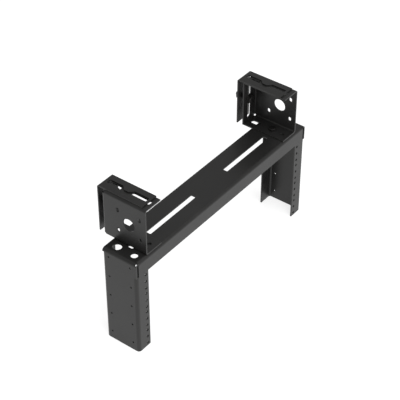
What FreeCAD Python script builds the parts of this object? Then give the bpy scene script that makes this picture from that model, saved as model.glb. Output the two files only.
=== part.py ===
"""Short two post open frame rack, four rack units high, hung from above by two clamp brackets.

Every length is in millimetres. X runs along the crossbeam, Y runs from the front rail faces to
the back, and Z runs up from the lower ends of the posts. The sheet steel pieces are folded, so
each is drawn as the outline of its section, with true bend radii, and drawn out along its fold.
Most pieces are modelled for the right end, and the left end's are their mirror images.
"""
import FreeCAD, Part
import math
import os

from FreeCAD import Vector

# Rack standard
unit_height = 44.45
units_high = 4
rail_opening = 450.85
rail_hole_inset = 7.135
rail_hole_radius = 2.75
first_hole_height = 6.35
hole_step = 15.875
holes_per_unit = 3

# Folded frame
sheet = 2.5
rail_width = 31.775
frame_depth = 76.2
frame_bend_radius = 6.4
skirt_height = 31.75
skirt_end_gap = 2.6
relief_hole_radius = 1.8

# Holes in the post webs
web_hole_radius = 2.0
web_hole_rows = 5
web_hole_pitch = 44.45
web_hole_columns = 48.6
top_web_hole_above_rail = 18.0

# Openings in the top of the crossbeam
long_slot_width = 10.5
long_slot_length = 130.2
long_slot_end_inset = 79.4
slot_corner_radius = 1.5
end_hole_inset = 18.6
end_hole_spacing = 38.1
rear_end_hole_radius = 8.4
front_end_hole_radius = 6.6
key_slot_inset = 32.6
key_slot_width = 5.5
key_slot_length = 10.6

# Upright brackets
bracket_inset = 30.7
bracket_front_setback = 2.0
bracket_depth = 96.5
bracket_height = 97.8
bracket_flange = 41.1
bracket_bend_radius = 5.0
bracket_wall_gap = 0.5
cable_hole_radius = 12.7
side_slot_width = 6.5
side_slot_length = 9.4
side_slot_columns = 48.6
side_slot_rows = 44.45
side_pattern_setback = 37.35
slot_line_inset = 24.6
foot_front_hole_radius = 4.2
foot_front_hole_setback = 14.0
foot_bolt_setback = 38.0
foot_slot_width = 9.5
foot_slot_length = 20.0
foot_slot_setback = 76.6
wall_slot_width = 10.5
wall_slot_length = 80.0
front_flange_slot_width = 7.1
front_flange_slot_length = 33.0
front_flange_slot_setback = 31.5
rear_flange_slot_width = 9.6
rear_flange_slot_length = 22.0
rear_flange_slot_setback = 82.5
cross_slot_width = 5.5
cross_slot_length = 10.1
cross_slot_setback = 9.1

# Clamp plates with their rear tongues
clamp_gap = 10.5
clamp_width = 38.0
clamp_overhang = 1.0
clamp_front_setback = 9.5
clamp_bend_radius = 4.0
tongue_height = 100.0
wave_slot_width = 10.1
wave_slot_offset = 1.35
wave_slot_shift = 8.0
wave_slot_front_length = 31.6
wave_slot_ramp_length = 8.4
wave_slot_middle_length = 9.0
wave_slot_front_margin = 5.0
wave_slot_rear_margin = 8.5

# Clamp bolts and foot bolts
clamp_bolt_radius = 5.0
clamp_bolt_above_beam = 53.3
clamp_hex_across_flats = 16.0
clamp_head_height = 6.4
clamp_nut_height = 8.4
clamp_washer_radius = 10.5
clamp_washer_height = 2.0
foot_bolt_radius = 4.0
foot_hex_across_flats = 13.0
foot_head_height = 5.3
foot_nut_height = 6.8
foot_washer_radius = 8.0
foot_washer_height = 1.6
bolt_hole_clearance = 0.4
thread_past_nut = 3.5

# Places worked out from the sizes above
post_height = units_high * unit_height
beam_top = post_height + skirt_height
rail_edge = rail_opening / 2
frame_side = rail_edge + rail_width
bend_start = beam_top - frame_bend_radius
bracket_front = bracket_front_setback
bracket_rear = bracket_front + bracket_depth
bracket_top = beam_top + bracket_height
bracket_outer_face = frame_side - bracket_inset
flange_edge = bracket_outer_face - bracket_flange
slot_line = bracket_outer_face - slot_line_inset
clamp_inner_edge = flange_edge - clamp_overhang
clamp_middle = clamp_inner_edge + clamp_width / 2
clamp_front = bracket_front + clamp_front_setback
clamp_top = bracket_top + sheet
tongue_inner_face = bracket_rear + clamp_gap
tongue_outer_face = tongue_inner_face + sheet
clamp_bolt_z = beam_top + clamp_bolt_above_beam
foot_top = beam_top + sheet
foot_bolt_y = bracket_front + foot_bolt_setback
overall_depth = tongue_outer_face + clamp_washer_height + clamp_nut_height + thread_past_nut
cut_through = 4 * sheet

X = Vector(1, 0, 0)
Y = Vector(0, 1, 0)
Z = Vector(0, 0, 1)


# Folded sheet

def unit(start, end):
    length = math.dist(start, end)
    return ((end[0] - start[0]) / length, (end[1] - start[1]) / length)


def left_of(direction):
    return (-direction[1], direction[0])


def step(point, direction, distance):
    return (point[0] + direction[0] * distance, point[1] + direction[1] * distance)


def arc_through(start, end, centre, radius):
    """Start, middle and end of one bend's arc."""
    middle = ((start[0] + end[0]) / 2, (start[1] + end[1]) / 2)
    return [start, step(centre, unit(centre, middle), radius), end]


def edges_along(stations, place):
    """Straight edges from station to station, with an arc where a station has three points."""
    edges = []
    for here, following in zip(stations, stations[1:]):
        if math.dist(here[-1], following[0]) > 1e-6:
            edges.append(Part.makeLine(place(here[-1]), place(following[0])))
        if len(following) == 3:
            edges.append(Part.Arc(*[place(point) for point in following]).toShape())
    return edges


def folded_sheet(corners, radius, place, along):
    """Folded strip whose section follows the outer corners, drawn out by the vector along.

    Every corner is a left turn of a right angle, with the sheet on the left of the path. place
    turns a pair of numbers in the section's plane into a point in space.
    """
    first = left_of(unit(corners[0], corners[1]))
    last = left_of(unit(corners[-2], corners[-1]))
    outer = [[corners[0]]]
    inner = [[step(corners[0], first, sheet)]]
    for before, corner, after in zip(corners, corners[1:], corners[2:]):
        into = unit(before, corner)
        out = unit(corner, after)
        start = step(corner, into, -radius)
        end = step(corner, out, radius)
        centre = step(start, left_of(into), radius)
        outer.append(arc_through(start, end, centre, radius))
        inner.append(arc_through(step(start, left_of(into), sheet),
                                 step(end, left_of(out), sheet), centre, radius - sheet))
    outer.append([corners[-1]])
    inner.append([step(corners[-1], last, sheet)])
    inner = [station[::-1] for station in inner[::-1]]
    outline = edges_along(outer + inner + [[corners[0]]], place)
    return Part.Face(Part.Wire(outline)).extrude(along)


# Cutters and plain bodies

def box(x0, x1, y0, y1, z0, z1):
    return Part.makeBox(x1 - x0, y1 - y0, z1 - z0, Vector(x0, y0, z0))


def round_bar(radius, start, along):
    return Part.makeCylinder(radius, along.Length, start, along)


def hole(radius, x, y, z, axis):
    """Cutter for a round hole through one thickness of sheet, centred on the point."""
    return round_bar(radius, Vector(x, y, z) - axis * (cut_through / 2), axis * cut_through)


def slot(x_size, y_size, z_size, x, y, z, axis, corner):
    """Cutter for a slot with rounded corners, centred on the point and cutting along axis."""
    cutter = box(x - x_size / 2, x + x_size / 2, y - y_size / 2, y + y_size / 2,
                 z - z_size / 2, z + z_size / 2)
    upright = [edge for edge in cutter.Edges
               if abs(edge.tangentAt(edge.FirstParameter).dot(axis)) > 0.99]
    return cutter.makeFillet(corner, upright)


def rounded_end(width):
    """Corner radius that gives a slot of this width round ends."""
    return width / 2 - 0.01


def hex_bar(across_flats, start, along):
    """Hexagonal prism from start, drawn out by the vector along."""
    corner = across_flats / math.sqrt(3)
    side = Y if along.z else Z
    across = side.cross(along).normalize()
    points = []
    for index in range(7):
        turn = math.radians(60 * index)
        points.append(start + side * (corner * math.cos(turn)) + across * (corner * math.sin(turn)))
    return Part.Face(Part.makePolygon(points)).extrude(along)


# Folded frame

def right_post():
    """C channel post: web, drilled rail flange in front, back flange, and the bend at its top."""
    plan = lambda pair: Vector(pair[0], pair[1], 0)
    channel = folded_sheet([(rail_edge, 0), (frame_side, 0), (frame_side, frame_depth),
                            (rail_edge, frame_depth)], frame_bend_radius, plan, Z * bend_start)
    # The rail flange ends under the skirt, and above it the web runs on to a square front edge
    inner_side = frame_side - sheet
    channel = channel.cut(box(0, frame_side, 0, frame_bend_radius, post_height, bend_start))
    square_edge = box(inner_side, frame_side, 0, frame_bend_radius, post_height, bend_start)
    elevation = lambda pair: Vector(pair[0], 0, pair[1])
    knee = folded_sheet([(frame_side, bend_start), (frame_side, beam_top),
                         (frame_side - frame_bend_radius, beam_top)], frame_bend_radius,
                        elevation, Y * frame_depth)
    post = channel.fuse([square_edge, knee])
    corner = Vector(frame_side - sheet / 2, sheet, beam_top - sheet / 2)
    outward = Vector(1, 0, 1).normalize()
    cutters = [round_bar(relief_hole_radius, corner - outward * frame_bend_radius,
                         outward * (2 * frame_bend_radius))]
    for unit_below in range(units_high):
        for place in range(holes_per_unit):
            level = unit_below * unit_height + first_hole_height + place * hole_step
            cutters.append(hole(rail_hole_radius, rail_edge + rail_hole_inset, sheet / 2, level, Y))
    for row in range(web_hole_rows):
        level = post_height + top_web_hole_above_rail - row * web_hole_pitch
        for side in (-1, 1):
            cutters.append(hole(web_hole_radius, frame_side - sheet / 2,
                                frame_depth / 2 + side * web_hole_columns / 2, level, X))
    return post.cut(cutters).removeSplitter()


def crossbeam():
    """Top plate with the skirt folded down along its front edge, between the two posts."""
    beam_end = frame_side - frame_bend_radius
    section = lambda pair: Vector(-beam_end, pair[0], pair[1])
    beam = folded_sheet([(frame_depth, beam_top), (0, beam_top), (0, post_height)],
                        frame_bend_radius, section, X * (2 * beam_end))
    beam_middle = frame_depth / 2
    top = beam_top - sheet / 2
    cutters = []
    for side in (-1, 1):
        long_slot_x = side * (frame_side - long_slot_end_inset - long_slot_length / 2)
        cutters.append(slot(long_slot_length, long_slot_width, cut_through, long_slot_x,
                            beam_middle, top, Z, slot_corner_radius))
        hole_x = side * (frame_side - end_hole_inset)
        cutters.append(hole(rear_end_hole_radius, hole_x, beam_middle + end_hole_spacing / 2,
                            top, Z))
        cutters.append(hole(front_end_hole_radius, hole_x, beam_middle - end_hole_spacing / 2,
                            top, Z))
        cutters.append(slot(key_slot_width, key_slot_length, cut_through,
                            side * (frame_side - key_slot_inset), beam_middle, top, Z,
                            rounded_end(key_slot_width)))
        cutters.append(hole(foot_bolt_radius + bolt_hole_clearance, side * clamp_middle,
                            foot_bolt_y, top, Z))
        # The skirt stops short of the web, which leaves an upright slit at the corner
        slit_start = side * (frame_side - sheet - skirt_end_gap)
        slit_end = side * frame_side
        cutters.append(box(min(slit_start, slit_end), max(slit_start, slit_end), 0,
                           frame_bend_radius, post_height, bend_start))
    return beam.cut(cutters)


# Upright brackets

def right_bracket():
    """Upright plate with a foot, a top flange and a back wall, all folded inwards."""
    section = lambda pair: Vector(pair[0], bracket_front, pair[1])
    channel = folded_sheet([(flange_edge, beam_top), (bracket_outer_face, beam_top),
                            (bracket_outer_face, bracket_top), (flange_edge, bracket_top)],
                           bracket_bend_radius, section, Y * bracket_depth)
    # The back wall is folded from the plate, with reliefs where the three folds meet
    wall_low = foot_top + bracket_wall_gap
    wall_high = bracket_top - sheet - bracket_wall_gap
    plan = lambda pair: Vector(pair[0], pair[1], wall_low)
    wall_bend = bracket_rear - bracket_bend_radius
    wall = folded_sheet([(bracket_outer_face, wall_bend), (bracket_outer_face, bracket_rear),
                         (flange_edge, bracket_rear)], bracket_bend_radius, plan,
                        Z * (wall_high - wall_low))
    side_bend = bracket_outer_face - bracket_bend_radius
    beyond_side = bracket_outer_face + cut_through
    beyond_rear = bracket_rear + cut_through
    channel = channel.cut(box(side_bend, beyond_side, wall_bend, beyond_rear,
                              beam_top - cut_through, bracket_top + cut_through))
    bracket = channel.fuse(wall)
    cutters = [box(side_bend, beyond_side, wall_bend, beyond_rear,
                   level - bracket_bend_radius, level + bracket_bend_radius)
               for level in (beam_top, bracket_top)]
    cutters += bracket_cutters()
    return bracket.cut(cutters).removeSplitter()


def bracket_cutters():
    plate = bracket_outer_face - sheet / 2
    middle_y = bracket_front + side_pattern_setback
    middle_z = (beam_top + bracket_top) / 2
    cutters = [hole(cable_hole_radius, plate, middle_y, middle_z, X)]
    for column in (-1, 1):
        for row in (-1, 1):
            cutters.append(slot(cut_through, side_slot_width, side_slot_length, plate,
                                middle_y + column * side_slot_columns / 2,
                                middle_z + row * side_slot_rows / 2, X,
                                rounded_end(side_slot_width)))
    foot = beam_top + sheet / 2
    flange = bracket_top - sheet / 2
    cutters.append(hole(foot_front_hole_radius, slot_line,
                        bracket_front + foot_front_hole_setback, foot, Z))
    cutters.append(hole(foot_bolt_radius + bolt_hole_clearance, clamp_middle, foot_bolt_y, foot, Z))
    cutters.append(slot(foot_slot_width, foot_slot_length, cut_through, clamp_middle,
                        bracket_front + foot_slot_setback, foot, Z, rounded_end(foot_slot_width)))
    cutters.append(slot(front_flange_slot_width, front_flange_slot_length, cut_through, slot_line,
                        bracket_front + front_flange_slot_setback, flange, Z,
                        rounded_end(front_flange_slot_width)))
    cutters.append(slot(rear_flange_slot_width, rear_flange_slot_length, cut_through, clamp_middle,
                        bracket_front + rear_flange_slot_setback, flange, Z,
                        rounded_end(rear_flange_slot_width)))
    cutters.append(slot(cross_slot_length, cross_slot_width, cut_through, clamp_middle,
                        bracket_front + cross_slot_setback, flange, Z,
                        rounded_end(cross_slot_width)))
    cutters.append(slot(wall_slot_width, cut_through, wall_slot_length, clamp_middle,
                        bracket_rear - sheet / 2, middle_z, Y, rounded_end(wall_slot_width)))
    return cutters


# Clamp plates

def clamp_plate():
    """Plate on the bracket's top flange, folded down at the back into the clamping tongue."""
    section = lambda pair: Vector(-clamp_width / 2, pair[0], pair[1])
    tongue_low = clamp_top - tongue_height
    plate = folded_sheet([(tongue_outer_face, tongue_low), (tongue_outer_face, clamp_top),
                          (clamp_front, clamp_top)], clamp_bend_radius, section,
                         X * clamp_width)
    bolt_hole = hole(clamp_bolt_radius + bolt_hole_clearance, 0,
                     tongue_outer_face - sheet / 2, clamp_bolt_z, Y)
    return plate.cut([wave_slot(), bolt_hole])


def wave_slot():
    """Cutter for the slot that jogs to the left and back halfway along the clamp plate."""
    straight = wave_slot_offset
    jogged = wave_slot_offset - wave_slot_shift
    front = clamp_front + wave_slot_front_margin
    first_ramp = front + wave_slot_front_length
    middle = first_ramp + wave_slot_ramp_length
    second_ramp = middle + wave_slot_middle_length
    rear_run = second_ramp + wave_slot_ramp_length
    rear = tongue_outer_face - wave_slot_rear_margin
    line = [(straight, front), (straight, first_ramp), (jogged, middle), (jogged, second_ramp),
            (straight, rear_run), (straight, rear)]
    half = wave_slot_width / 2
    one_side = [Vector(x + half, y, 0) for x, y in line]
    other_side = [Vector(x - half, y, 0) for x, y in reversed(line)]
    outline = Part.makePolygon(one_side + other_side + one_side[:1])
    cutter = Part.Face(outline).extrude(Z * cut_through)
    cutter.translate(Z * (clamp_top - cut_through / 2))
    corners = [edge for edge in cutter.Edges
               if abs(edge.tangentAt(edge.FirstParameter).dot(Z)) > 0.99]
    return cutter.makeFillet(slot_corner_radius, corners)


# Bolts, nuts and washers

def bolt(shank_radius, across_flats, head_height, head_seat, along, length):
    """Hexagon bolt whose head seats at head_seat and whose shank runs along from there."""
    head = hex_bar(across_flats, head_seat, along * -head_height)
    return head.fuse(round_bar(shank_radius, head_seat, along * length)).removeSplitter()


def ring(outer_radius, bolt_radius, start, along):
    """Washer or nut blank with its bolt's hole."""
    blank = round_bar(outer_radius, start, along)
    return blank.cut(round_bar(bolt_radius + bolt_hole_clearance, start, along))


def hex_nut(across_flats, bolt_radius, start, along):
    blank = hex_bar(across_flats, start, along)
    return blank.cut(round_bar(bolt_radius, start, along))


def right_clamp_fasteners():
    """Bolt from inside the bracket through back wall, gap and tongue, with washers and nut."""
    axis = Vector(clamp_middle, 0, clamp_bolt_z)
    behind_tongue = axis + Y * tongue_outer_face
    wall_inner_face = axis + Y * (bracket_rear - sheet)
    head_seat = wall_inner_face - Y * clamp_washer_height
    nut_seat = behind_tongue + Y * clamp_washer_height
    bolt_length = nut_seat.y - head_seat.y + clamp_nut_height + thread_past_nut
    return {
        "clamp_bolt": bolt(clamp_bolt_radius, clamp_hex_across_flats, clamp_head_height,
                           head_seat, Y, bolt_length),
        "clamp_rear_washer": ring(clamp_washer_radius, clamp_bolt_radius, behind_tongue,
                                  Y * clamp_washer_height),
        "clamp_inner_washer": ring(clamp_washer_radius, clamp_bolt_radius, wall_inner_face,
                                   Y * -clamp_washer_height),
        "clamp_nut": hex_nut(clamp_hex_across_flats, clamp_bolt_radius, nut_seat,
                             Y * clamp_nut_height),
    }


def right_foot_fasteners():
    """Bolt down through the bracket's foot and the crossbeam, with its washer and nut."""
    seat = Vector(clamp_middle, foot_bolt_y, foot_top)
    under_beam = Vector(clamp_middle, foot_bolt_y, beam_top - sheet)
    nut_seat = under_beam - Z * foot_washer_height
    bolt_length = seat.z - nut_seat.z + foot_nut_height + thread_past_nut
    return {
        "foot_bolt": bolt(foot_bolt_radius, foot_hex_across_flats, foot_head_height, seat, -Z,
                          bolt_length),
        "foot_washer": ring(foot_washer_radius, foot_bolt_radius, under_beam,
                            Z * -foot_washer_height),
        "foot_nut": hex_nut(foot_hex_across_flats, foot_bolt_radius, nut_seat,
                            Z * -foot_nut_height),
    }


# The whole rack

def save(name, solid):
    """Writes one piece, moved so that the origin is under the middle of the whole rack."""
    solid.translate(Y * (-overall_depth / 2))
    solid.exportStep(os.path.join("parts", name + ".step"))


os.makedirs("parts", exist_ok=True)
save("crossbeam", crossbeam())
# The two clamp plates are alike, and not mirror images
save("left_clamp_plate", clamp_plate().translated(X * -clamp_middle))
save("right_clamp_plate", clamp_plate().translated(X * clamp_middle))
right_end = {"post": right_post(), "bracket": right_bracket()}
right_end.update(right_clamp_fasteners())
right_end.update(right_foot_fasteners())
for name, solid in right_end.items():
    save("left_" + name, solid.mirror(Vector(0, 0, 0), X))
    save("right_" + name, solid)
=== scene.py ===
"""Short two post open frame rack, four units high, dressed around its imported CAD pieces.

The sheet metal pieces keep their CAD shapes and get a black powder coat. The bolts, nuts and
washers are made here with their threads and chamfers, and stand for the plain CAD ones. The rail
holes' threads and the laps behind the frame's front corners are added to the CAD shapes.
"""
import math

import bmesh
import bpy
from mathutils import Matrix, Vector


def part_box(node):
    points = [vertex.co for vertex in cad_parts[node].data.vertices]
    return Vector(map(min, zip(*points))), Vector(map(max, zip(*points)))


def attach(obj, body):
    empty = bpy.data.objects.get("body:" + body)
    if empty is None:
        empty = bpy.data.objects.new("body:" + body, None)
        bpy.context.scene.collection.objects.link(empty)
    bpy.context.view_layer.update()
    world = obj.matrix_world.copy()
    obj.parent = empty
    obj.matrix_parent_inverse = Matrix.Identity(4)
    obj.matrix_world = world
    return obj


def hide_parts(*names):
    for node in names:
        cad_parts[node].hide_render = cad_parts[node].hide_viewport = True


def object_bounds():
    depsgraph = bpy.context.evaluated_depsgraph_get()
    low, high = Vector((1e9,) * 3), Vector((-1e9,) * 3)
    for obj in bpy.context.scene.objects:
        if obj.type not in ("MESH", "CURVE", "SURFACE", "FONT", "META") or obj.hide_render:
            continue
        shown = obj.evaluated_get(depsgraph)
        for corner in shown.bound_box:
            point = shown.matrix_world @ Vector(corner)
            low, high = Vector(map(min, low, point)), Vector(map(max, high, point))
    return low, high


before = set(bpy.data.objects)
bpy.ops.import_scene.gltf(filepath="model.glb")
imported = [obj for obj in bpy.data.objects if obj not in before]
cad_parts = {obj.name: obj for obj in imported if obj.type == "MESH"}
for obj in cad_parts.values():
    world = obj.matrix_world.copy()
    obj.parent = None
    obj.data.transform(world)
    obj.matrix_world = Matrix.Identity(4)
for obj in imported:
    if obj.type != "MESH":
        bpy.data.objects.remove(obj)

cad_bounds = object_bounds()
MM = 0.001


# Camera
# It looks down on the rack from the front left, from about 2.4 m away, through a long lens that
# is neither shifted nor rolled.
lens_length = 117.2
film_width = 36.0
camera_place = (-1.50079, -1.15066, 1.68745)
camera_azimuth = math.radians(-52.59)
camera_elevation = math.radians(38.98)
camera_reach = 50.0

camera_data = bpy.data.cameras.new("camera")
camera_data.lens = lens_length
camera_data.sensor_width = film_width
camera_data.clip_end = camera_reach
camera = bpy.data.objects.new("camera", camera_data)
camera.location = camera_place
camera.rotation_euler = (math.pi / 2 - camera_elevation, 0.0, camera_azimuth)
bpy.context.scene.collection.objects.link(camera)
bpy.context.scene.camera = camera


# Floor and studio light
# A plain white table, softly lit from within so that it stays white, in an even pale room. A large
# soft box stands above and a weak one low in front. The coat's sides mostly mirror the table.
floor_half_width = 9.0
floor_grey = (0.35, 0.35, 0.35, 1.0)
floor_glow = 0.78
floor_grain = 40.0
floor_roughness = (0.75, 0.85)
lamp_white = (1.0, 1.0, 1.0, 1.0)
room_strength = 0.5
# Each soft box's name, side in metres, power in watts and place
soft_boxes = (("key_box", 3.0, 85.0, Vector((-0.3, -1.8, 3.2))),
              ("fill_box", 1.5, 21.0, Vector((-1.2, -2.2, 0.9))))


def new_finish(name):
    """Material with its node tree and its shader."""
    finish = bpy.data.materials.new(name)
    finish.use_nodes = True
    return finish, finish.node_tree, finish.node_tree.nodes["Principled BSDF"]


floor_mesh = bpy.data.meshes.new("floor")
floor_corners = [(across * floor_half_width, along * floor_half_width, 0.0)
                 for across, along in ((-1, -1), (1, -1), (1, 1), (-1, 1))]
floor_mesh.from_pydata(floor_corners, [], [(0, 1, 2, 3)])
floor = bpy.data.objects.new("floor", floor_mesh)
bpy.context.scene.collection.objects.link(floor)
floor_paint, paint, paint_shader = new_finish("floor_paint")
paint_shader.inputs["Base Color"].default_value = floor_grey
paint_shader.inputs["Emission Color"].default_value = lamp_white
paint_shader.inputs["Emission Strength"].default_value = floor_glow
paint_grain = paint.nodes.new("ShaderNodeTexNoise")
paint_grain.inputs["Scale"].default_value = floor_grain
paint_roughness = paint.nodes.new("ShaderNodeMapRange")
paint_roughness.inputs["To Min"].default_value = floor_roughness[0]
paint_roughness.inputs["To Max"].default_value = floor_roughness[1]
paint.links.new(paint_grain.outputs["Fac"], paint_roughness.inputs["Value"])
paint.links.new(paint_roughness.outputs["Result"], paint_shader.inputs["Roughness"])
floor_mesh.materials.append(floor_paint)

room = bpy.data.worlds.new("room")
room.use_nodes = True
room.node_tree.nodes["Background"].inputs["Color"].default_value = lamp_white
room.node_tree.nodes["Background"].inputs["Strength"].default_value = room_strength
bpy.context.scene.world = room
bpy.context.scene.view_settings.view_transform = "Standard"

for box_name, box_side, box_power, box_place in soft_boxes:
    light = bpy.data.lights.new(box_name, "AREA")
    light.size = box_side
    light.energy = box_power
    soft_box = bpy.data.objects.new(box_name, light)
    soft_box.location = box_place
    soft_box.rotation_euler = box_place.to_track_quat("Z", "Y").to_euler()
    soft_box.visible_camera = False
    bpy.context.scene.collection.objects.link(soft_box)


# Crossbeam
# The top plate with its front skirt: steel sheet, punched, folded and powder coated satin black.
# It carries the two posts at its ends and the brackets on top.
coat_black = (0.0115, 0.0113, 0.0109, 1.0)
coat_cloud = (0.0145, 0.0142, 0.0138, 1.0)
coat_fleck = (0.0300, 0.0294, 0.0285, 1.0)
# Lighter colour of the coat's edges: thinner film there, and partly a painted edge highlight
coat_thin_edge_and_highlight = (0.0400, 0.0392, 0.0380, 1.0)
coat_gloss = 0.35
coat_refraction = 1.5
coat_roughness = (0.33, 0.41)
coat_edge_radius = 0.3
# How far the edges turn to that lighter colour, partly a painted edge highlight
coat_edge_thinning_and_highlight_share = 0.5
fleck_roughness = 0.03
fleck_share = 0.35
# Most of a mottled value lies between these two, and flecks show between the next two
usual_values = (0.3, 0.7)
fleck_values = (0.62, 0.75)
# A softened edge shows from this much agreement with the flat face, and fully at the other
coat_edge_values = (0.995, 0.85)
# Bumps in a metre of the coat's clouds, flecks, orange peel and the peel's own grain
clouds_per_metre = 18.0
flecks_per_metre = 1500.0
peel_per_metre = 620.0
peel_grain_per_metre = 2600.0
peel_grain_share = 0.35
peel_strength = 0.35
peel_depth = 0.05
bevel_samples = 6


def place_on_piece(tree, shift):
    """The place on the piece, shifted so that no two pieces show the same clouds."""
    place = tree.nodes.new("ShaderNodeTexCoord")
    moved = tree.nodes.new("ShaderNodeMapping")
    moved.inputs["Location"].default_value = shift
    tree.links.new(place.outputs["Object"], moved.inputs["Vector"])
    return moved.outputs["Vector"]


def mottling(tree, place, per_metre, detail):
    """Uneven value between 0 and 1, with about so many bumps in a metre."""
    texture = tree.nodes.new("ShaderNodeTexNoise")
    texture.inputs["Scale"].default_value = per_metre
    texture.inputs["Detail"].default_value = detail
    tree.links.new(place, texture.inputs["Vector"])
    return texture.outputs["Fac"]


def stretched(tree, value, span, new_span):
    """The value, with its span drawn out or pressed to the new one, and held within that."""
    scaled = tree.nodes.new("ShaderNodeMapRange")
    scaled.inputs["From Min"].default_value = span[0]
    scaled.inputs["From Max"].default_value = span[1]
    scaled.inputs["To Min"].default_value = new_span[0]
    scaled.inputs["To Max"].default_value = new_span[1]
    tree.links.new(value, scaled.inputs["Value"])
    return scaled.outputs["Result"]


def tinted(tree, share, first, second):
    """Colour that turns from the first into the second with the share."""
    blend = tree.nodes.new("ShaderNodeMix")
    blend.data_type = "RGBA"
    tree.links.new(share, blend.inputs["Factor"])
    for socket, colour in (("A", first), ("B", second)):
        target = [s for s in blend.inputs if s.name == socket and s.type == "RGBA"][0]
        if isinstance(colour, tuple):
            target.default_value = colour
        else:
            tree.links.new(colour, target)
    return [s for s in blend.outputs if s.type == "RGBA"][0]


def added(tree, fine, share, coarse):
    """The coarse value with a share of the fine one on top."""
    total = tree.nodes.new("ShaderNodeMath")
    total.operation = "MULTIPLY_ADD"
    tree.links.new(fine, total.inputs[0])
    total.inputs[1].default_value = share
    tree.links.new(coarse, total.inputs[2])
    return total.outputs["Value"]


def rounded_edges(tree, radius):
    """Normal of the softened edges, and how far it agrees with the flat face: 1 away from edges."""
    rounded = tree.nodes.new("ShaderNodeBevel")
    rounded.samples = bevel_samples
    rounded.inputs["Radius"].default_value = radius * MM
    flat = tree.nodes.new("ShaderNodeNewGeometry")
    agreement = tree.nodes.new("ShaderNodeVectorMath")
    agreement.operation = "DOT_PRODUCT"
    tree.links.new(rounded.outputs["Normal"], agreement.inputs[0])
    tree.links.new(flat.outputs["Normal"], agreement.inputs[1])
    return rounded.outputs["Normal"], agreement.outputs["Value"]


def relief(tree, height, normal, strength, depth):
    """Normal with the height's fine relief, which is so many millimetres deep."""
    bump = tree.nodes.new("ShaderNodeBump")
    bump.inputs["Strength"].default_value = strength
    bump.inputs["Distance"].default_value = depth * MM
    tree.links.new(height, bump.inputs["Height"])
    tree.links.new(normal, bump.inputs["Normal"])
    return bump.outputs["Normal"]


def powder_coat(name, shift, gloss=coat_gloss):
    """Satin black powder coat: fine orange peel, cloudy sheen, and edges painted lighter, partly for
    the thinner film there and partly as a painted edge highlight.
    """
    coat, tree, shader = new_finish(name)
    shader.inputs["IOR"].default_value = coat_refraction
    shader.inputs["Specular IOR Level"].default_value = gloss
    place = place_on_piece(tree, (shift, shift * 0.6, shift * 0.3))
    clouds = mottling(tree, place, clouds_per_metre, detail=3.0)
    flecks = mottling(tree, place, flecks_per_metre, detail=2.0)
    normal, agreement = rounded_edges(tree, coat_edge_radius)

    film = tinted(tree, stretched(tree, clouds, usual_values, (0, 1)), coat_black, coat_cloud)
    fleck = stretched(tree, flecks, fleck_values, (0, fleck_share))
    flecked = tinted(tree, fleck, film, coat_fleck)
    # Edges painted lighter: thinner film, and partly a painted edge highlight
    edge_lightening = stretched(tree, agreement, coat_edge_values, (0, coat_edge_thinning_and_highlight_share))
    edge_lightened = tinted(tree, edge_lightening, flecked, coat_thin_edge_and_highlight)
    tree.links.new(edge_lightened, shader.inputs["Base Color"])

    cloudy = stretched(tree, clouds, usual_values, coat_roughness)
    grainy = stretched(tree, flecks, usual_values, (-fleck_roughness, fleck_roughness))
    tree.links.new(added(tree, grainy, 1.0, cloudy), shader.inputs["Roughness"])

    peel = added(tree, mottling(tree, place, peel_grain_per_metre, detail=1.0), peel_grain_share,
                 mottling(tree, place, peel_per_metre, detail=2.0))
    tree.links.new(relief(tree, peel, normal, peel_strength, peel_depth), shader.inputs["Normal"])
    return coat


def finish_cad_piece(node, material):
    """Puts the material on every slot of a CAD piece."""
    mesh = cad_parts[node].data
    if not mesh.materials:
        mesh.materials.append(material)
    for index in range(len(mesh.materials)):
        mesh.materials[index] = material


finish_cad_piece("crossbeam", powder_coat("crossbeam_coat", 0.0))


# Posts
# Two C channels that hang down from the crossbeam, with a tapped rail flange in front. They are the
# same sheet as the crossbeam. A thin lap welded behind each corner ties the skirt to the flange.
sheet = 2.5
unit_height = 44.45
units_high = 4
first_hole_height = 6.35
hole_step = 15.875
holes_per_unit = 3
rail_hole_spacing = 465.12
hole_across = rail_hole_spacing / 2
hole_levels = [unit * unit_height + first_hole_height + hole * hole_step
               for unit in range(units_high) for hole in range(holes_per_unit)]
tapped_radius = 2.72
tapped_pitch = 1.06
tapped_depth = 0.52
hole_steps = 24
# The threads' coat has little gloss: painted shade, so that the tapped holes look dark inside
thread_shade_gloss = 0.06
lap_clearance = 0.02
lap_sheet = 1.45
# The lap's edges from the rack's middle, and its levels from the posts' lower ends
lap_inner_edge = 238.0
lap_fold_edge = 250.2
lap_outer_edge = 254.5
lap_bottom = 162.0
lap_step = 178.0
lap_top = 202.6
# Points closer than this are one and the same
weld_distance = 0.002


def skin_helix(mesh, rows, rows_in_turn):
    """Skin over the rows of a helix, each of which goes on in the row one turn later."""
    for here in range(len(rows) - 1):
        row, following = rows[here], rows[here + 1]
        for i in range(len(row) - 1):
            mesh.faces.new((row[i], row[i + 1], following[i + 1], following[i]))
        after = here + rows_in_turn
        if after + 1 < len(rows):
            mesh.faces.new((row[-1], rows[after][0], rows[after + 1][0], following[-1]))


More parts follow.
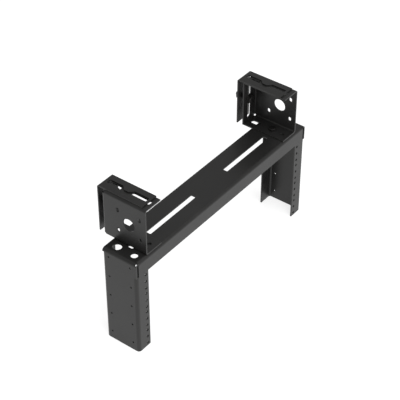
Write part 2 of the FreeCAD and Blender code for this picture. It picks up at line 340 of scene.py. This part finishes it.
def add_tapped_thread(mesh, across, level):
    """Thread cut in one hole of the sheet, between the hole's wall and the thread's own surface."""
    crest = tapped_radius - tapped_depth
    # Share of a turn, and the radius there: along the wall, up the flank and along the crest
    profile = [(0.0, tapped_radius), (0.2, tapped_radius), (0.5, crest), (0.7, crest)]
    turns = math.ceil(sheet / tapped_pitch) + 1
    rows = []
    for turn in range(-1, turns):
        for share, reach in profile:
            row = []
            for index in range(hole_steps):
                depth = (turn + share + index / hole_steps) * tapped_pitch
                reached = reach if 0 < depth < sheet else tapped_radius
                angle = 2 * math.pi * index / hole_steps
                row.append(mesh.verts.new((across + reached * math.cos(angle),
                                           min(max(depth, 0), sheet),
                                           level + reached * math.sin(angle))))
            rows.append(row)
    back_rim, front_rim = [[mesh.verts.new(point.co) for point in row] for row in (rows[-1], rows[0])]
    skin_helix(mesh, rows, len(profile))
    for i in range(hole_steps):
        j = (i + 1) % hole_steps
        mesh.faces.new((back_rim[i], back_rim[j], front_rim[j], front_rim[i]))


def add_lap(mesh):
    """Plate behind the corner, narrow behind the flange's fold and wide behind the slit."""
    outline = [(lap_inner_edge, lap_bottom), (lap_fold_edge, lap_bottom), (lap_fold_edge, lap_step),
               (lap_outer_edge, lap_step), (lap_outer_edge, lap_top), (lap_inner_edge, lap_top)]
    front_depth = sheet + lap_clearance
    front, back = [[mesh.verts.new((across, depth, level)) for across, level in outline]
                   for depth in (front_depth, front_depth + lap_sheet)]
    mesh.faces.new(front)
    mesh.faces.new(back[::-1])
    for i in range(len(front)):
        mesh.faces.new((front[i - 1], front[i], back[i], back[i - 1]))


def add_piece(name, mesh, placement, material):
    """Puts a mesh in its place as a rigid piece of the rack, its faces turned outward."""
    bmesh.ops.remove_doubles(mesh, verts=mesh.verts, dist=weld_distance)
    bmesh.ops.recalc_face_normals(mesh, faces=mesh.faces)
    mesh.transform(placement)
    if mesh.calc_volume(signed=True) < 0:
        bmesh.ops.reverse_faces(mesh, faces=mesh.faces)
    data = bpy.data.meshes.new(name)
    mesh.to_mesh(data)
    mesh.free()
    data.materials.append(material)
    piece = bpy.data.objects.new(name, data)
    bpy.context.scene.collection.objects.link(piece)
    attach(piece, "root")
    return piece


# Each end's name and side, and the shift of its coat's clouds
for end, side, shift in (("left", -1, 1.7), ("right", 1, 3.1)):
    coat = powder_coat(end + "_post_coat", shift)
    finish_cad_piece(end + "_post", coat)
    # The threads and the lap are modelled on the right post, and the left post has their mirror
    placement = (Matrix.Translation(Vector((0, cad_bounds[0][1], 0)))
                 @ Matrix.Diagonal((side * MM, MM, MM, 1)))
    threads = bmesh.new()
    for hole_level in hole_levels:
        add_tapped_thread(threads, hole_across, hole_level)
    # A low-gloss copy of the post's coat on the threads, as painted shade inside the holes
    shaded_thread_coat = powder_coat(end + "_shaded_thread_coat", shift, gloss=thread_shade_gloss)
    add_piece(end + "_post_threads", threads, placement, shaded_thread_coat)
    lap = bmesh.new()
    add_lap(lap)
    add_piece(end + "_corner_lap", lap, placement, coat)


# Brackets
# Open boxes folded from one sheet each, which stand on the crossbeam and carry the clamps. They
# were coated on their own hooks, so their sheen clouds differ from the frame's.
for end, shift in (("left", 4.9), ("right", 6.3)):
    finish_cad_piece(end + "_bracket", powder_coat(end + "_bracket_coat", shift))


# Clamp plates
# Slotted sheets that lie on the brackets, with a tongue folded down behind to grip a tray's side
# bar. Both are punched and coated alike.
for end, shift in (("left", 8.2), ("right", 9.8)):
    finish_cad_piece(end + "_clamp_plate", powder_coat(end + "_clamp_plate_coat", shift))


# Clamp bolts
# M10 hexagon bolts from inside the brackets, through wall, gap and tongue, in black oxide steel.
# The thread is rolled on the whole shank, and each has two stamped washers and a nut behind.
oxide_black = (0.020, 0.0195, 0.019, 1.0)
oxide_grey = (0.034, 0.033, 0.032, 1.0)
oxide_rubbed = (0.11, 0.105, 0.10, 1.0)
oxide_metal = 0.85
oxide_roughness = (0.36, 0.56)
oxide_edge_radius = 0.35
oxide_edge_values = (0.99, 0.85)
oxide_wear = 0.7
patch_values = (0.35, 0.65)
oxide_grain_per_metre = 1800.0
oxide_patches_per_metre = 160.0
oxide_relief_strength = 0.25
oxide_relief_depth = 0.02
clamp_bolt_radius = 5.0
clamp_bolt_pitch = 1.5
clamp_flats = 16.0
clamp_head = 6.4
bolt_hole_slack = 0.4
round_steps = 72
smooth_angle = math.radians(28)
chamfer_slope = math.tan(math.radians(30))
# Radii of a head's chamfered circle and of its seat's rim, as shares of the width across flats
chamfer_share = 0.475
seat_share = 0.465
# A rolled thread's depth as a share of its pitch, and what is turned off at its two ends
rolled_share = 0.61
tip_chamfer = 0.4
run_out = 0.1
backward = Vector((0, 1, 0))
upward = Vector((0, 0, 1))


def black_oxide(name, shift):
    """Blackened steel: dull film with fine grain, rubbed a little brighter on the corners."""
    film, tree, shader = new_finish(name)
    shader.inputs["Metallic"].default_value = oxide_metal
    place = place_on_piece(tree, (shift, shift, shift))
    grain = mottling(tree, place, oxide_grain_per_metre, detail=3.0)
    patches = mottling(tree, place, oxide_patches_per_metre, detail=2.0)
    normal, agreement = rounded_edges(tree, oxide_edge_radius)
    patchy = tinted(tree, stretched(tree, patches, patch_values, (0, 1)), oxide_black, oxide_grey)
    edge_lightening = stretched(tree, agreement, oxide_edge_values, (0, oxide_wear))
    edge_lightened = tinted(tree, edge_lightening, patchy, oxide_rubbed)
    tree.links.new(edge_lightened, shader.inputs["Base Color"])
    dullness = stretched(tree, grain, (0, 1), oxide_roughness)
    tree.links.new(dullness, shader.inputs["Roughness"])
    tree.links.new(relief(tree, grain, normal, oxide_relief_strength, oxide_relief_depth),
                   shader.inputs["Normal"])
    return film


def turn_at(index):
    return 2 * math.pi * index / round_steps


def circle(radius, height):
    """Ring of points around the piece's own axis, in millimetres."""
    return [(radius * math.cos(turn_at(i)), radius * math.sin(turn_at(i)), height)
            for i in range(round_steps)]


def hexagon(across_flats, height, chamfer=0):
    """Ring of points along a hexagon, lowered (1) or raised (-1) where a 30 degree cone cuts it."""
    cone_radius = chamfer_share * across_flats
    ring = []
    for index in range(round_steps):
        turn = turn_at(index)
        from_flat = turn % math.radians(60) - math.radians(30)
        radius = across_flats / 2 / math.cos(from_flat)
        level = height - chamfer * (radius - cone_radius) * chamfer_slope
        ring.append((radius * math.cos(turn), radius * math.sin(turn), level))
    return ring


def add_rings(mesh, rings, closed=False):
    """Skin over the rings in their order. A ring of one point closes that end."""
    rows = [[mesh.verts.new(point) for point in ring] for ring in rings]
    pairs = list(zip(rows, rows[1:]))
    if closed:
        pairs.append((rows[-1], rows[0]))
    for row, following in pairs:
        for i in range(round_steps):
            j = (i + 1) % round_steps
            corners = [row[i % len(row)], row[j % len(row)],
                       following[j % len(following)], following[i % len(following)]]
            kept = [v for k, v in enumerate(corners) if v is not corners[k - 1]]
            mesh.faces.new(kept)


def add_thread(mesh, radius, pitch, start, end):
    """Rolled thread from start down to end, with a chamfered tip."""
    root = radius - rolled_share * pitch
    tip = root - tip_chamfer
    # Share of a turn, and the radius there: along the root, up the flank and along the crest
    profile = [(0.0, root), (0.25, root), (0.5625, radius), (0.6875, radius)]
    turns = math.ceil((start - end) / pitch) + 1
    rows = []
    for turn in range(-1, turns):
        for share, reach in profile:
            row = []
            for index in range(round_steps):
                height = start - (turn + share + index / round_steps) * pitch
                if height >= start:
                    reached = root
                elif height <= end:
                    reached = tip
                else:
                    reached = min(reach, tip + (height - end), root + run_out + (start - height))
                row.append(mesh.verts.new((reached * math.cos(turn_at(index)),
                                           reached * math.sin(turn_at(index)),
                                           min(max(height, end), start))))
            rows.append(row)
    skin_helix(mesh, rows, len(profile))


def bolt_mesh(radius, pitch, flats, head, length):
    """Hexagon bolt, its head above its seat at height 0 and its shank below."""
    washer_face = 0.4
    neck = 1.2
    fillet = 0.35
    slack = 0.05
    rolled_depth = rolled_share * pitch
    rim = chamfer_share * flats
    mesh = bmesh.new()
    add_rings(mesh, [[(0, 0, head)], circle(rim, head), hexagon(flats, head, 1),
                     hexagon(flats, washer_face), circle(rim, washer_face),
                     circle(seat_share * flats, 0), circle(radius + fillet, 0),
                     circle(radius + slack, -fillet), circle(radius - rolled_depth, -neck)])
    add_thread(mesh, radius - slack, pitch, -neck, -length)
    add_rings(mesh, [circle(radius - slack - rolled_depth - tip_chamfer, -length), [(0, 0, -length)]])
    return mesh


def nut_mesh(bore, flats, height):
    """Hexagon nut with a 30 degree chamfer and a countersunk bore on both sides."""
    sink = 0.6
    rim = chamfer_share * flats
    mesh = bmesh.new()
    add_rings(mesh, [circle(bore + sink, height), circle(rim, height), hexagon(flats, height, 1),
                     hexagon(flats, 0, -1), circle(rim, 0), circle(bore + sink, 0),
                     circle(bore, sink), circle(bore, height - sink)], closed=True)
    return mesh


def washer_mesh(bore, radius, height):
    """Stamped washer, with the punch's rolled edge on its upper side."""
    roll = 0.3 * height
    shoulder = 0.3 * roll
    burr = 0.08 * height
    mesh = bmesh.new()
    add_rings(mesh, [circle(bore + roll / 2, height), circle(radius - roll, height),
                     circle(radius - shoulder, height - shoulder), circle(radius, height - roll),
                     circle(radius, burr), circle(radius - burr, 0), circle(bore + burr, 0),
                     circle(bore, burr), circle(bore, height - roll / 2)], closed=True)
    return mesh


def size_of(node):
    """Size of a CAD piece in millimetres."""
    low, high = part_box(node)
    return (high - low) / MM


def place_fastener(node, finish, mesh, height, outward, corner, material):
    """Puts a fastener in place of its CAD piece, which reaches so high above the seat outward."""
    low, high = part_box(node)
    top = (low + high) / 2 + outward * abs((high - low).dot(outward)) / 2
    turned = Matrix((corner, outward.cross(corner), outward)).transposed().to_4x4()
    placement = Matrix.Translation(top - outward * height * MM) @ turned @ Matrix.Scale(MM, 4)
    piece = add_piece(node + "_" + finish, mesh, placement, material)
    piece.data.shade_smooth()
    piece.data.set_sharp_from_angle(angle=smooth_angle)
    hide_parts(node)


for end, shift in (("left", 0.4), ("right", 1.1)):
    steel = black_oxide(end + "_clamp_steel", shift)
    length = size_of(end + "_clamp_bolt").y
    bolt = bolt_mesh(clamp_bolt_radius, clamp_bolt_pitch, clamp_flats, clamp_head, length - clamp_head)
    place_fastener(end + "_clamp_bolt", "threaded", bolt, clamp_head, -backward, upward, steel)
    height = size_of(end + "_clamp_nut").y
    nut = nut_mesh(clamp_bolt_radius, clamp_flats, height)
    place_fastener(end + "_clamp_nut", "chamfered", nut, height, backward, upward, steel)
    for washer, outward in (("_clamp_rear_washer", backward), ("_clamp_inner_washer", -backward)):
        size = size_of(end + washer)
        disc = washer_mesh(clamp_bolt_radius + bolt_hole_slack, size.x / 2, size.y)
        place_fastener(end + washer, "stamped", disc, size.y, outward, upward, steel)


# Foot bolts
# M8 hexagon bolts down through the brackets' feet and the crossbeam, each with a washer and a nut
# under the beam. They are the same black oxide steel as the clamp bolts.
foot_bolt_radius = 4.0
foot_bolt_pitch = 1.25
foot_flats = 13.0
foot_head = 5.3
for end, shift in (("left", 2.3), ("right", 3.9)):
    steel = black_oxide(end + "_foot_steel", shift)
    length = size_of(end + "_foot_bolt").z
    bolt = bolt_mesh(foot_bolt_radius, foot_bolt_pitch, foot_flats, foot_head, length - foot_head)
    place_fastener(end + "_foot_bolt", "threaded", bolt, foot_head, upward, backward, steel)
    height = size_of(end + "_foot_nut").z
    nut = nut_mesh(foot_bolt_radius, foot_flats, height)
    place_fastener(end + "_foot_nut", "chamfered", nut, height, -upward, backward, steel)
    size = size_of(end + "_foot_washer")
    disc = washer_mesh(foot_bolt_radius + bolt_hole_slack, size.x / 2, size.z)
    place_fastener(end + "_foot_washer", "stamped", disc, size.z, -upward, backward, steel)
